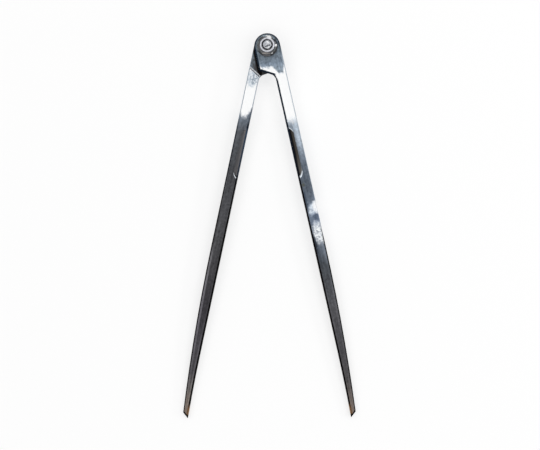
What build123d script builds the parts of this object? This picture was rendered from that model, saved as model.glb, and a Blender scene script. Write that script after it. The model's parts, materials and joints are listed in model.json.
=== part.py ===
from build123d import *
from math import atan2, cos, hypot, radians, sin, tan
import os

# Straight-legged steel dividers: two identical legs, one turned over, half-lapped at a round head
# and clamped by a bolt. All lengths are in millimetres. The dividers lie on the rim of the bolt
# head and on the two tips, so the plane of the legs leans a little towards the tips.

# Legs, each in its own frame: the pivot is at the origin, +x runs outwards from the other leg,
# -y runs down to the point, and the lap faces meet at z = 0
leg_length = 290.0
leg_spread = 24.8
leg_thickness = 8.0
head_radius = 9.9
inner_offset = 1.0
inner_bend_start = 240.0
taper_start = 158.0
tip_width = 4.4
tip_thickness = 4.8
tip_bevel_length = 3.7
edge_chamfer = 0.7

# Facets that bring the bevelled tip to a point
point_land = 0.5
point_facet_width = 1.3

# Half lap at the head
step_start = 17.6
shoulder_angle = 30.5
shoulder_gap = 1.0
shoulder_corner_radius = 1.5
shoulder_fillet = 5.0
step_foot_radius = 0.6

# Finger recess in the inner edge, on both faces, with its ends where they leave that edge. The
# outline of its floor starts a little above the face, so that its brink is cut clean
recess_start = 63.4
recess_end = 103.5
recess_width = 4.1
recess_slope = 30.0
recess_end_radius = 4.5
recess_end_draft = 46.0
recess_brink_overlap = 0.3

# Bolt, washers and lock nut
shank_radius = 4.0
shank_chamfer = 0.95
shank_protrusion = 0.8
hex_across_flats = 13.0
hex_face_share = 0.95
hex_chamfer_angle = 30.0
bolt_head_height = 5.3
washer_radius = 8.0
washer_thickness = 1.6
washer_edge_break = 0.2
nut_height = 8.0
nut_hex_height = 5.4
collar_wall = 0.6
collar_rounding = 0.9
lip_thickness = 0.6
insert_wall = 1.0
insert_height = 2.0

# Clearances round the bolt
hinge_clearance = 0.06
thread_clearance = 0.03
insert_clearance = 0.04
lip_clearance = 0.25
washer_clearance = 0.2

# Lean of the leg plane, from the bolt head's rim and the end of the tips' flat back
lap_height = bolt_head_height + washer_thickness + leg_thickness / 2
rim_radius = hex_across_flats / 2 * hex_face_share
bevel_run = hypot(tip_width, tip_bevel_length)
facet_reach = point_facet_width * bevel_run / tip_width
heel = leg_length - facet_reach
heel_draw = ((heel - taper_start) / (leg_length - taper_start)) ** 2
heel_depth = (leg_thickness - (leg_thickness - tip_thickness) * heel_draw) / 2
lean = atan2(lap_height - heel_depth, heel * cos(radians(leg_spread / 2)) - rim_radius)

# The origin is the middle of the bolt head's rest face, and the stack is measured up from there
rest_face = Plane(origin=(0, 0, 0), x_dir=(1, 0, 0), z_dir=(0, -sin(lean), cos(lean)))
lap_plane = rest_face.offset(lap_height)
front_face = lap_plane.offset(leg_thickness / 2)
nut_foot = front_face.offset(washer_thickness)
nut_top = nut_foot.offset(nut_height)

# Points of the leg's outline
shoulder_slope = tan(radians(shoulder_angle))
shoulder_start = step_start - shoulder_gap / cos(radians(shoulder_angle))
shoulder_corner = (-head_radius, -shoulder_start)
shoulder_inner = (inner_offset, -shoulder_start - (head_radius + inner_offset) * shoulder_slope)
bend_point = (inner_offset, -inner_bend_start)
point = (0, -leg_length)
bevel_corner = (tip_width, tip_bevel_length - leg_length)
taper_point = (head_radius, -taper_start)

# Finger recess: each end wall climbs from the sloping floor to the face along this much of the leg
floor_slope = radians(recess_slope)
recess_end_run = recess_width * sin(floor_slope) * tan(radians(recess_end_draft))
recess_floor_length = recess_end - recess_start - 2 * recess_end_run

# The step runs past both edges of the leg, parallel to the shoulder of the other leg
step_outer = (2 * head_radius, -step_start + head_radius * shoulder_slope)
step_inner = (-2 * head_radius, -step_start - 3 * head_radius * shoulder_slope)
step_middle = (head_radius / 2, -step_start - head_radius / 2 * shoulder_slope)


def leg_frame(side):
    """Frame of one leg: side 1 is the right leg, side -1 the left leg, which is turned over."""
    half_spread = radians(leg_spread / 2)
    outwards = lap_plane.x_dir * side * cos(half_spread) + lap_plane.y_dir * sin(half_spread)
    return Plane(origin=lap_plane.origin, x_dir=outwards, z_dir=lap_plane.z_dir * side)


def is_rim(frame, edge):
    """True for the edges round a leg's two faces, but not the seams across them."""
    off_lap = abs(frame.to_local_coords(edge.center()).Z) > leg_thickness / 4
    across = edge.geom_type == GeomType.LINE and abs(edge.tangent_at(0).dot(frame.x_dir)) > 0.999
    upright = edge.geom_type == GeomType.LINE and abs(edge.tangent_at(0).dot(frame.z_dir)) > 0.999
    return off_lap and not across and not upright


def facet_plane(frame):
    """Plane square to the tip's bevel, with x out of the bevel and y along the leg's thickness."""
    out = (frame.x_dir * tip_bevel_length - frame.y_dir * tip_width).normalized()
    return Plane(origin=frame.from_local_coords(point), x_dir=out, z_dir=out.cross(frame.z_dir))


def recess_floor(frame, face):
    """Floor of the finger recess: x runs up the leg and y down the slope to the inner edge."""
    middle = -(recess_start + recess_end) / 2
    brink = (inner_offset + recess_width, middle, face * leg_thickness / 2)
    return Plane(
        origin=frame.from_local_coords(brink),
        x_dir=frame.y_dir * face,
        z_dir=frame.z_dir * face * cos(floor_slope) - frame.x_dir * sin(floor_slope),
    )


def hexagon_blank(foot, height):
    """Hexagonal prism on the plane foot, with the corners of its far end turned off."""
    corner_radius = hex_across_flats / 2 / cos(radians(30))
    face_radius = hex_across_flats / 2 * hex_face_share
    corner_drop = (corner_radius - face_radius) * tan(radians(hex_chamfer_angle))
    with BuildPart() as blank:
        with BuildSketch(foot):
            RegularPolygon(radius=corner_radius, side_count=6)
        extrude(amount=height)
        with BuildSketch(Plane(origin=foot.origin, x_dir=foot.x_dir, z_dir=-foot.y_dir)):
            with BuildLine():
                Polyline(
                    (0, 0),
                    (corner_radius, 0),
                    (corner_radius, height - corner_drop),
                    (face_radius, height),
                    (0, height),
                    close=True,
                )
            make_face()
        revolve(axis=Axis(foot.origin, foot.z_dir), mode=Mode.INTERSECT)
    return blank.part


os.makedirs("parts", exist_ok=True)

for name, side in (("right_leg", 1), ("left_leg", -1)):
    frame = leg_frame(side)
    with BuildPart() as leg:
        # Outline of the leg with its head plate, seen square on
        with BuildSketch(frame) as outline:
            with BuildLine():
                CenterArc((0, 0), head_radius, 0, 180)
                Polyline((-head_radius, 0), shoulder_corner, shoulder_inner, bend_point)
                TangentArc(bend_point, point, tangent=(0, -1))
                Line(point, bevel_corner)
                TangentArc(taper_point, bevel_corner, tangent=(0, -1))
                Line(taper_point, (head_radius, 0))
            make_face()
            fillet(outline.vertices().sort_by_distance(shoulder_corner)[0], shoulder_corner_radius)
            fillet(outline.vertices().sort_by_distance(shoulder_inner)[0], shoulder_fillet)
        extrude(amount=leg_thickness, both=True)

        # Edge view: parallel faces that draw in towards the tip
        half = leg_thickness / 2
        tip_half = tip_thickness / 2
        with BuildSketch(Plane(origin=frame.origin, x_dir=frame.y_dir, z_dir=frame.x_dir)):
            with BuildLine():
                Polyline(
                    (-taper_start, half),
                    (head_radius, half),
                    (head_radius, -half),
                    (-taper_start, -half),
                )
                TangentArc((-taper_start, half), (-leg_length, tip_half), tangent=(-1, 0))
                TangentArc((-taper_start, -half), (-leg_length, -tip_half), tangent=(-1, 0))
                Line((-leg_length, tip_half), (-leg_length, -tip_half))
            make_face()
        extrude(amount=2 * head_radius, both=True, mode=Mode.INTERSECT)

        # Half lap: the rear half of the head is cut away down to the step
        with BuildSketch(frame):
            with BuildLine():
                Polyline(
                    step_outer,
                    (2 * head_radius, 2 * head_radius),
                    (-2 * head_radius, 2 * head_radius),
                    step_inner,
                    close=True,
                )
            make_face()
        extrude(amount=-leg_thickness, mode=Mode.SUBTRACT)
        step_foot = frame.from_local_coords(step_middle)
        fillet(leg.edges().sort_by_distance(step_foot)[0], step_foot_radius)

        # Broken edges round both faces
        chamfer(leg.edges().filter_by(lambda edge: is_rim(frame, edge)), edge_chamfer)

        for face in (1, -1):
            # Facet between the tip's bevel and this face
            rise = face * (tip_half - point_land / 2)
            with BuildSketch(facet_plane(frame)):
                with BuildLine():
                    Polyline(
                        (point_facet_width, face * point_land / 2 - rise),
                        (point_facet_width, face * tip_half + rise),
                        (-2 * point_facet_width, face * tip_half + rise),
                        close=True,
                    )
                make_face()
            extrude(amount=2 * bevel_run, both=True, mode=Mode.SUBTRACT)

            # Finger recess in this face
            floor = recess_floor(frame, face)
            with BuildSketch(floor):
                with Locations((0, recess_end_radius - recess_brink_overlap)):
                    SlotOverall(recess_floor_length, 2 * recess_end_radius)
            extrude(amount=leg_thickness, taper=-recess_end_draft, mode=Mode.SUBTRACT)

        # Pivot bore
        with BuildSketch(frame):
            Circle(shank_radius + hinge_clearance)
        extrude(amount=leg_thickness, both=True, mode=Mode.SUBTRACT)
    leg.part.label = name
    export_step(leg.part, f"parts/{name}.step")

# Bolt with its hexagon head behind the legs
head_seat = rest_face.offset(bolt_head_height)
head_blank = hexagon_blank(
    Plane(origin=head_seat.origin, x_dir=head_seat.x_dir, z_dir=-head_seat.z_dir), bolt_head_height
)
shank_length = 2 * washer_thickness + leg_thickness + nut_height + shank_protrusion
with BuildPart() as pivot_bolt:
    add(head_blank)
    with BuildSketch(head_seat):
        Circle(shank_radius)
    extrude(amount=shank_length)
    chamfer(pivot_bolt.edges().sort_by(Axis(head_seat.origin, head_seat.z_dir))[-1], shank_chamfer)
pivot_bolt.part.label = "pivot_bolt"
export_step(pivot_bolt.part, "parts/pivot_bolt.step")

# Flat washers behind and in front of the legs
for name, seat in (("back_washer", head_seat), ("front_washer", front_face)):
    with BuildPart() as washer:
        with BuildSketch(seat):
            Circle(washer_radius)
        extrude(amount=washer_thickness)
        chamfer(washer.edges(), washer_edge_break)
        with BuildSketch(seat):
            Circle(shank_radius + washer_clearance)
        extrude(amount=washer_thickness, mode=Mode.SUBTRACT)
    washer.part.label = name
    export_step(washer.part, f"parts/{name}.step")

# Lock nut: a hexagon with a round collar whose lip is turned in over the locking ring
nut_blank = hexagon_blank(nut_foot, nut_hex_height)
insert_foot = nut_top.offset(-lip_thickness - insert_height)
insert_radius = shank_radius + insert_wall
with BuildPart() as lock_nut:
    add(nut_blank)
    with BuildSketch(nut_foot):
        Circle(insert_radius + collar_wall)
    extrude(amount=nut_height)
    fillet(lock_nut.edges().sort_by(Axis(nut_foot.origin, nut_foot.z_dir))[-1], collar_rounding)
    with BuildSketch(nut_foot):
        Circle(shank_radius + thread_clearance)
    extrude(amount=nut_height, mode=Mode.SUBTRACT)
    with BuildSketch(insert_foot):
        Circle(insert_radius)
    extrude(amount=insert_height, mode=Mode.SUBTRACT)
    with BuildSketch(insert_foot):
        Circle(shank_radius + lip_clearance)
    extrude(amount=insert_height + lip_thickness, mode=Mode.SUBTRACT)
lock_nut.part.label = "lock_nut"
export_step(lock_nut.part, "parts/lock_nut.step")

# Nylon locking ring under the nut's lip
with BuildPart() as lock_ring:
    with BuildSketch(insert_foot):
        Circle(insert_radius)
        Circle(shank_radius + insert_clearance, mode=Mode.SUBTRACT)
    extrude(amount=insert_height)
lock_ring.part.label = "lock_ring"
export_step(lock_ring.part, "parts/lock_ring.step")
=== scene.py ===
"""Steel compass: the finish of its legs and pivot hardware, with much light and shade painted into it, and
camera, light and floor.
"""

from __future__ import annotations

import json
import logging
import math
from dataclasses import dataclass
from enum import Enum

import bpy
from mathutils import Matrix, Vector


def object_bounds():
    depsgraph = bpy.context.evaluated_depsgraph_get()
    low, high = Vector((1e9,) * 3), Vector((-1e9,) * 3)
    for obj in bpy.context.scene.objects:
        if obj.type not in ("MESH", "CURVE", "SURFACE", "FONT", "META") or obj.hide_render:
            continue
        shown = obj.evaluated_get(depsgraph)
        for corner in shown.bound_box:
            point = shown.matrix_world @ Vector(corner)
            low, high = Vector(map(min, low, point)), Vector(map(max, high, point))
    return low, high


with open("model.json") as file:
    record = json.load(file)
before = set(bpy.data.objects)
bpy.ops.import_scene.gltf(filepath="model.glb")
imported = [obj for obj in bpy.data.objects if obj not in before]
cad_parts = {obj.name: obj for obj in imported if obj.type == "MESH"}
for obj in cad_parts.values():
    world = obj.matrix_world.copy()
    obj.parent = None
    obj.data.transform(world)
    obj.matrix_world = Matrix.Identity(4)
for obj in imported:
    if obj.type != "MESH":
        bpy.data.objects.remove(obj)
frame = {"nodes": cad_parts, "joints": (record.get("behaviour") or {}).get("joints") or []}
cad_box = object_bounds()

log = logging.getLogger("steel_compass")

MM = 0.001
Span = tuple[float, float]
Colour = tuple[float, float, float]
Stops = tuple[tuple[float, float], ...]
Tones = tuple[tuple[float, Colour], ...]

# Painted highlight, sheen and shade colours that several zones of a leg share, and the slope of its step
# and shoulder across the leg
HIGHLIGHT_WHITE: Colour = (0.985, 0.99, 0.99)
SHEEN: Colour = (0.62, 0.70, 0.78)
EDGE_HIGHLIGHT: Colour = (0.50, 0.57, 0.64)
INK: Colour = (0.018, 0.030, 0.050)
SHADE_BLACK: Colour = (0.008, 0.007, 0.007)
STEP_SLOPE = 0.589


class Side(Enum):
    """Which of the two legs is meant, by the direction it opens to."""

    LEFT = -1
    RIGHT = 1


class Mix(Enum):
    """Kinds of Mix node: data type, and places of its two inputs and its result among the sockets."""

    NUMBER = ("FLOAT", 2, 3, 0)
    COLOUR = ("RGBA", 6, 7, 2)


@dataclass(frozen=True)
class CompassFrame:
    """The compass's own axes, read from its hinge joint.

    Attributes:
        pivot: Point on the hinge's axis in the plane where the two head plates meet.
        normal: Unit vector square to the legs, towards the nut.
        half_spread: Half the angle between the legs at rest, in degrees.
    """

    pivot: Vector
    normal: Vector
    half_spread: float = 12.4

    @classmethod
    def from_joint(cls, joint: dict) -> CompassFrame:
        """Reads the frame from the record's entry for the hinge."""
        return cls(pivot=Vector(joint["pos_m"]), normal=Vector(joint["axis"]).normalized())

    @property
    def across(self) -> Vector:
        """Unit vector towards the right leg's side."""
        return Vector((1.0, 0.0, 0.0))

    @property
    def headward(self) -> Vector:
        """Unit vector in the leg plane from the points towards the head."""
        return self.normal.cross(self.across)

    def down_leg(self, side: Side) -> Vector:
        """Unit vector from the pivot to one leg's point."""
        angle = math.radians(self.half_spread)
        return self.across * side.value * math.sin(angle) - self.headward * math.cos(angle)

    def out_of_leg(self, side: Side) -> Vector:
        """Unit vector in the leg plane, outwards from the other leg."""
        angle = math.radians(self.half_spread)
        return self.across * side.value * math.cos(angle) + self.headward * math.sin(angle)


class Field:
    """A number or a colour that varies over a surface, with plain arithmetic."""

    def __init__(self, bench: NodeBench, socket: bpy.types.NodeSocket) -> None:
        """Wraps an output socket of a node tree."""
        self.bench = bench
        self.socket = socket

    def __add__(self, other: Field | float) -> Field:
        """Sum."""
        return self.bench.maths("ADD", self, other)

    def __sub__(self, other: Field | float) -> Field:
        """Difference."""
        return self.bench.maths("SUBTRACT", self, other)

    def __rsub__(self, other: float) -> Field:
        """Difference from a number."""
        return self.bench.maths("SUBTRACT", other, self)

    def __mul__(self, other: Field | float) -> Field:
        """Product."""
        return self.bench.maths("MULTIPLY", self, other)

    def __pow__(self, other: float) -> Field:
        """Power."""
        return self.bench.maths("POWER", self, other)

    def __or__(self, other: Field | float) -> Field:
        """The larger of two."""
        return self.bench.maths("MAXIMUM", self, other)

    def __abs__(self) -> Field:
        """Size without sign."""
        return self.bench.maths("ABSOLUTE", self)

    def rise(self, low: Field | float, high: Field | float) -> Field:
        """Smooth share that is 0 up to low and 1 from high on.

        Args:
            low: Where the rise starts.
            high: Where it ends.

        Returns:
            The share.
        """
        made = self.bench.node("ShaderNodeMapRange", interpolation_type="SMOOTHSTEP")
        self.bench.feed(made.inputs["Value"], self)
        self.bench.feed(made.inputs["From Min"], low)
        self.bench.feed(made.inputs["From Max"], high)
        return Field(self.bench, made.outputs["Result"])

    def fall(self, low: float, high: float) -> Field:
        """Smooth share that is 1 up to low and 0 from high on."""
        return 1.0 - self.rise(low, high)

    def within(self, low: float, high: float, soft: float) -> Field:
        """Share that is 1 between two values, with soft ends outside them."""
        return self.rise(low - soft, low) * self.fall(high, high + soft)


class NodeBench:
    """A material's or world's node tree, with short calls for the nodes that the finishes use."""

    def __init__(self, owner: bpy.types.ID) -> None:
        """Empties the owner's node tree.

        Args:
            owner: A material or world that uses nodes.
        """
        owner.use_nodes = True
        self.tree = owner.node_tree
        self.tree.nodes.clear()

    def node(self, kind: str, **settings: object) -> bpy.types.Node:
        """Adds a node and sets its properties.

        Args:
            kind: The node's class name.
            **settings: Properties of the node by name.

        Returns:
            The new node.
        """
        made = self.tree.nodes.new(kind)
        for name, value in settings.items():
            setattr(made, name, value)
        return made

    def feed(self, socket: bpy.types.NodeSocket, value: object) -> None:
        """Links a field to an input, or sets the input to a constant.

        Args:
            socket: The input socket.
            value: A field, a socket, a number, a vector or a colour.
        """
        if isinstance(value, Field):
            self.tree.links.new(value.socket, socket)
        elif isinstance(value, bpy.types.NodeSocket):
            self.tree.links.new(value, socket)
        elif socket.type == "RGBA":
            socket.default_value = (*value[:3], 1.0)
        else:
            socket.default_value = value

    def maths(self, operation: str, *values: Field | float) -> Field:
        """Adds a Math node.

        Args:
            operation: The node's operation.
            *values: Its inputs.

        Returns:
            The result.
        """
        made = self.node("ShaderNodeMath", operation=operation)
        for socket, value in zip(made.inputs, values):
            self.feed(socket, value)
        return Field(self, made.outputs[0])

    def position(self) -> bpy.types.NodeSocket:
        """The point in the piece's own frame, in metres."""
        return self.node("ShaderNodeTexCoord").outputs["Object"]

    def facing(self) -> bpy.types.NodeSocket:
        """The surface's true normal in the piece's own frame.

        Returns:
            Socket with the normal.
        """
        geometry = self.node("ShaderNodeNewGeometry")
        turned = self.node(
            "ShaderNodeVectorTransform", vector_type="NORMAL", convert_from="WORLD", convert_to="OBJECT"
        )
        self.feed(turned.inputs[0], geometry.outputs["True Normal"])
        return turned.outputs[0]

    def share_of(self, vector: bpy.types.NodeSocket, axis: Vector) -> Field:
        """Component of a vector along an axis.

        Args:
            vector: Socket with the vector.
            axis: The axis.

        Returns:
            The component.
        """
        dot = self.node("ShaderNodeVectorMath", operation="DOT_PRODUCT")
        self.feed(dot.inputs[0], vector)
        self.feed(dot.inputs[1], tuple(axis))
        return Field(self, dot.outputs["Value"])

    def along(self, point: bpy.types.NodeSocket, origin: Vector, axis: Vector) -> Field:
        """Distance of a point from an origin along an axis, in millimetres.

        Args:
            point: Socket with a position in metres.
            origin: Where the distance is zero.
            axis: Unit vector of the direction.

        Returns:
            The distance.
        """
        shifted = self.node("ShaderNodeVectorMath", operation="SUBTRACT")
        self.feed(shifted.inputs[0], point)
        self.feed(shifted.inputs[1], tuple(origin))
        return self.share_of(shifted.outputs[0], axis / MM)

    def noise(self, x: Field, y: Field, z: Field | float, scale: float, detail: float) -> Field:
        """Noise from 0 to 1, with a mean near a half.

        Args:
            x: First coordinate.
            y: Second coordinate.
            z: Third coordinate.
            scale: Cycles per unit of the coordinates.
            detail: Number of finer octaves.

        Returns:
            The noise.
        """
        place = self.node("ShaderNodeCombineXYZ")
        for socket, value in zip(place.inputs, (x, y, z)):
            self.feed(socket, value)
        made = self.node("ShaderNodeTexNoise")
        self.feed(made.inputs["Vector"], place.outputs[0])
        made.inputs["Scale"].default_value = scale
        made.inputs["Detail"].default_value = detail
        return Field(self, made.outputs["Fac"])

    def blend(self, share: Field, first: Field | Colour, second: Field | Colour) -> Field:
        """Colour between two, by a share that is 0 for the first and 1 for the second."""
        return self._mix(Mix.COLOUR, share, first, second)

    def mixed(self, share: Field, first: Field | float, second: Field | float) -> Field:
        """Number between two, by a share that is 0 for the first and 1 for the second."""
        return self._mix(Mix.NUMBER, share, first, second)

    def _mix(
        self, kind: Mix, share: Field, first: Field | Colour | float, second: Field | Colour | float
    ) -> Field:
        """Adds a Mix node.

        Args:
            kind: What it mixes.
            share: 0 for the first value, 1 for the second.
            first: The first value.
            second: The second value.

        Returns:
            The mixed value.
        """
        data_type, first_place, second_place, result_place = kind.value
        made = self.node("ShaderNodeMix", data_type=data_type)
        self.feed(made.inputs["Factor"], share)
        self.feed(made.inputs[first_place], first)
        self.feed(made.inputs[second_place], second)
        return Field(self, made.outputs[result_place])

    def shade(self, colour: Field, level: Field) -> Field:
        """A colour made darker or lighter.

        Args:
            colour: The colour.
            level: 1 where it stays, less where it darkens.

        Returns:
            The shaded colour.
        """
        made = self.node("ShaderNodeVectorMath", operation="SCALE")
        self.feed(made.inputs[0], colour)
        self.feed(made.inputs["Scale"], level)
        return Field(self, made.outputs[0])

    def tones(self, value: Field, stops: Tones) -> Field:
        """Colour that runs through named stops.

        Args:
            value: The driving value.
            stops: Pairs of a value and the colour there, in rising order.

        Returns:
            The colour.
        """
        low, high = stops[0][0], stops[-1][0]
        ramp = self.node("ShaderNodeValToRGB")
        elements = ramp.color_ramp.elements
        while len(elements) < len(stops):
            elements.new(0.5)
        for element, (place, colour) in zip(elements, stops):
            element.position = (place - low) / (high - low)
            element.color = (*colour, 1.0)
        self.feed(ramp.inputs[0], (value - low) * (1.0 / (high - low)))
        return Field(self, ramp.outputs[0])

    def profile(self, value: Field, stops: Stops) -> Field:
        """Number that runs through named stops, given as pairs of a value and the number there."""
        top = max(1.0, *(level for _, level in stops))
        return self.tones(value, tuple((place, (level / top,) * 3) for place, level in stops)) * top

    def bump(self, height: Field, depth: float) -> bpy.types.NodeSocket:
        """Bumped normal.

        Args:
            height: Height from 0 to 1.
            depth: Real depth of that height, in millimetres.

        Returns:
            Socket with the normal.
        """
        made = self.node("ShaderNodeBump")
        made.inputs["Distance"].default_value = depth * MM
        self.feed(made.inputs["Height"], height)
        return made.outputs["Normal"]

    def metal(
        self, colour: Field, roughness: Field, normal: bpy.types.NodeSocket, glancing: float = 1.0
    ) -> None:
        """Ends the tree in a metal surface.

        Args:
            colour: Reflected colour.
            roughness: Roughness of the surface.
            normal: Socket with a bumped normal.
            glancing: How white the surface turns when it is seen edge-on.
        """
        shader = self.node("ShaderNodeBsdfPrincipled")
        shader.inputs["Metallic"].default_value = 1.0
        shader.inputs["Specular Tint"].default_value = (glancing, glancing, glancing, 1.0)
        self.feed(shader.inputs["Base Color"], colour)
        self.feed(shader.inputs["Roughness"], roughness)
        self.feed(shader.inputs["Normal"], normal)
        self.close(shader.outputs[0])

    def close(self, surface: bpy.types.NodeSocket) -> None:
        """Links a shader to the material's output."""
        out = self.node("ShaderNodeOutputMaterial")
        self.feed(out.inputs["Surface"], surface)


class LegPlace:
    """Where a point lies on a leg and which way its surface faces, with distances in millimetres.

    Attributes:
        down: Distance from the pivot towards the leg's point.
        left: Distance left to the leg's point.
        out: Distance from the leg's centre line, outwards from the other leg.
        deep: Distance from the plane where the head plates meet, towards the nut.
        up_step: Distance from that plane towards the face that the leg's half-lap step rises to.
        radius: Distance from the pivot's axis.
        plate_side: Distance from the pivot towards the front head plate's left edge.
        from_outer: Distance inwards from the leg's outer edge.
        from_inner: Distance outwards from the edge that faces the other leg.
        level: 1 where the surface lies flat in the leg plane, 0 where it is square to it.
        flat: Share that is 1 on the flat faces alone.
        faces_out: Component of the normal outwards from the other leg.
        faces_tip: Component of the normal towards the leg's point.
    """

    leg_length: float = 290.0
    head_radius: float = 9.9
    inner_edge: float = 1.0
    outer_bend: float = 158.0
    outer_curve: float = 0.000334
    inner_bend: float = 240.0
    inner_curve: float = 0.0004
    flatness: Span = (0.95, 0.97)

    def __init__(self, bench: NodeBench, compass: CompassFrame, side: Side) -> None:
        """Sets up the fields.

        Args:
            bench: The material's node tree.
            compass: The compass's frame.
            side: The leg.
        """
        point = bench.position()
        normal = bench.facing()
        self.down = bench.along(point, compass.pivot, compass.down_leg(side))
        self.left = self.leg_length - self.down
        self.out = bench.along(point, compass.pivot, compass.out_of_leg(side))
        self.deep = bench.along(point, compass.pivot, compass.normal)
        self.up_step = self.deep * float(-side.value)
        self.radius = (self.down * self.down + self.out * self.out) ** 0.5
        self.plate_side = bench.along(point, compass.pivot, -compass.out_of_leg(Side.RIGHT))
        past_outer_bend = (self.down - self.outer_bend) | 0.0
        past_inner_bend = (self.down - self.inner_bend) | 0.0
        self.from_outer = self.head_radius - past_outer_bend * past_outer_bend * self.outer_curve - self.out
        self.from_inner = self.out - self.inner_edge + past_inner_bend * past_inner_bend * self.inner_curve
        self.level = abs(bench.share_of(normal, compass.normal))
        self.flat = self.level.rise(*self.flatness)
        self.faces_out = bench.share_of(normal, compass.out_of_leg(side))
        self.faces_tip = bench.share_of(normal, compass.down_leg(side))

    def tilted(self, low: float, high: float, soft: float = 0.03) -> Field:
        """Share of the faces whose level is between two values."""
        return self.level.within(low, high, soft)


class SteelGrain:
    """Noises that break up a leg's steel.

    Attributes:
        brushed: Fine grinding lines along the leg.
        streak: Broad smears along the leg.
        mottle: Uneven clouds a few millimetres wide.
        speckle: Specks about a millimetre wide.
    """

    def __init__(self, bench: NodeBench, place: LegPlace) -> None:
        """Sets up the noises.

        Args:
            bench: The material's node tree.
            place: Where the point lies.
        """
        across = (place.out, place.deep)
        self.brushed = bench.noise(place.down * 0.05, *across, scale=5.0, detail=4.0)
        self.streak = bench.noise(place.down * 0.03, *across, scale=0.9, detail=4.0)
        self.mottle = bench.noise(place.down, *across, scale=0.45, detail=6.0)
        self.speckle = bench.noise(place.down, *across, scale=0.85, detail=2.0)

    def fray(self, clouds: float, specks: float = 0.0) -> Field:
        """Shift that frays an edge, by up to half of each amount either way."""
        shift = (self.mottle - 0.5) * clouds
        return shift + (self.speckle - 0.5) * specks if specks else shift

    def texture(self, smears: float, clouds: float, specks: float, base: float) -> Field:
        """Level that darkens and lightens the steel: a base, with as much of each noise as is given."""
        return self.streak * smears + self.mottle * clouds + self.speckle * specks + base


class Coat:
    """Colour and polish of a surface, laid on layer by layer."""

    def __init__(self, bench: NodeBench, colour: Field, polish: Field) -> None:
        """Starts with a first layer.

        Args:
            bench: The material's node tree.
            colour: Colour of the first layer.
            polish: 1 where it scatters light like the glare stretch.
        """
        self.bench = bench
        self.colour = colour
        self.polish = polish

    def lay(self, share: Field, colour: Field | Colour, polish: float = 0.0) -> None:
        """Lays a colour over part of the surface.

        Args:
            share: How far the layer covers.
            colour: Its colour.
            polish: 1 where it scatters light like the glare stretch.
        """
        self.colour = self.bench.blend(share, self.colour, colour)
        if polish:
            self.polish = self.polish | share * polish


@dataclass(frozen=True)
class Patch:
    """A ragged oval on a leg's face with a colour and polish of its own, mostly a painted reflection,
    lighter or darker.

    Attributes:
        down: Its middle, in millimetres from the pivot.
        out: Its middle, in millimetres from the leg's centre line.
        half_length: Half its length.
        half_width: Half its width.
        colour: Its colour.
        slant: How far its middle line shifts down the leg for each millimetre outwards.
        polish: 1 where it scatters light like the glare stretch, 0 where it stays like the body.
        broken: How much specks break it up.
        frayed: How much clouds and specks fray its edge.
        edge: Squared distance, in half sizes, at which it starts to fade and is gone.
        specks: Range of the speckle noise over which it turns from broken to whole.
    """

    down: float
    out: float
    half_length: float
    half_width: float
    colour: Colour
    slant: float = 0.0
    polish: float = 0.0
    broken: float = 0.0
    frayed: float = 1.6
    edge: Span = (0.3, 1.3)
    specks: Span = (0.38, 0.60)

    def lay(self, coat: Coat, place: LegPlace, grain: SteelGrain) -> None:
        """Lays the patch on a leg.

        Args:
            coat: The leg's coat.
            place: Where the point lies.
            grain: Noises that fray its edge.
        """
        long = (place.down - self.down - (place.out - self.out) * self.slant) * (1.0 / self.half_length)
        wide = (place.out - self.out) * (1.0 / self.half_width)
        oval = long * long + wide * wide + grain.fray(self.frayed, self.frayed)
        whole = grain.speckle.rise(*self.specks) * self.broken + (1.0 - self.broken)
        coat.lay(oval.fall(*self.edge) * whole, self.colour, self.polish)


@dataclass(frozen=True)
class HeadPlate:
    """Satin head plate, mottled blue-grey.

    Attributes:
        tones: Its colour down the leg.
        end: Where the front plate gives way to the glare stretch, down the leg.
        tongue: How much farther it reaches in a tongue near its outer edge.
        tongue_inside: Where the tongue sets in, outwards from the centre line.
        tongue_outside: Where it thins out again.
        corner: How much earlier the plate ends at its left edge.
        corner_side: Where that corner ends.
        sheen: How strong the pale sheen along its outer edge is.
        sheen_side: Where that sheen sets in, outwards from the centre line.
        sheen_starts: Where it sets in, down the leg.
        sheen_ends: Where it ends, down the leg.
    """

    tones: Tones = (
        (-10.0, (0.34, 0.40, 0.44)),
        (-6.0, (0.18, 0.215, 0.255)),
        (4.0, (0.225, 0.28, 0.335)),
        (9.0, (0.23, 0.28, 0.335)),
        (14.0, (0.28, 0.345, 0.43)),
        (21.0, (0.46, 0.55, 0.64)),
    )
    end: float = 15.8
    tongue: float = 6.6
    tongue_inside: Span = (-0.5, 5.2)
    tongue_outside: Span = (7.2, 9.8)
    corner: float = 2.0
    corner_side: Span = (-8.8, -7.2)
    sheen: float = 0.3
    sheen_side: Span = (8.2, 9.9)
    sheen_starts: Span = (5.0, 17.0)
    sheen_ends: Span = (20.0, 24.0)

    def ends_at(self, place: LegPlace) -> Field:
        """Where the front plate ends, down the leg."""
        tongue = place.out.rise(*self.tongue_inside) * place.out.fall(*self.tongue_outside)
        return tongue * self.tongue + self.end - place.out.fall(*self.corner_side) * self.corner

    def glow(self, place: LegPlace) -> Field:
        """Share of the pale sheen along the plate's outer edge."""
        stretch = place.down.rise(*self.sheen_starts) * place.down.fall(*self.sheen_ends)
        return place.out.rise(*self.sheen_side) * stretch * self.sheen

    def colour(self, bench: NodeBench, place: LegPlace, grain: SteelGrain, glow: Field) -> Field:
        """Colour of the plate, with its sheen and its clouds."""
        plate = bench.blend(glow, bench.tones(place.down, self.tones), SHEEN)
        return bench.shade(plate, grain.texture(smears=1.1, clouds=1.1, specks=1.1, base=-0.65))


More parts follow.
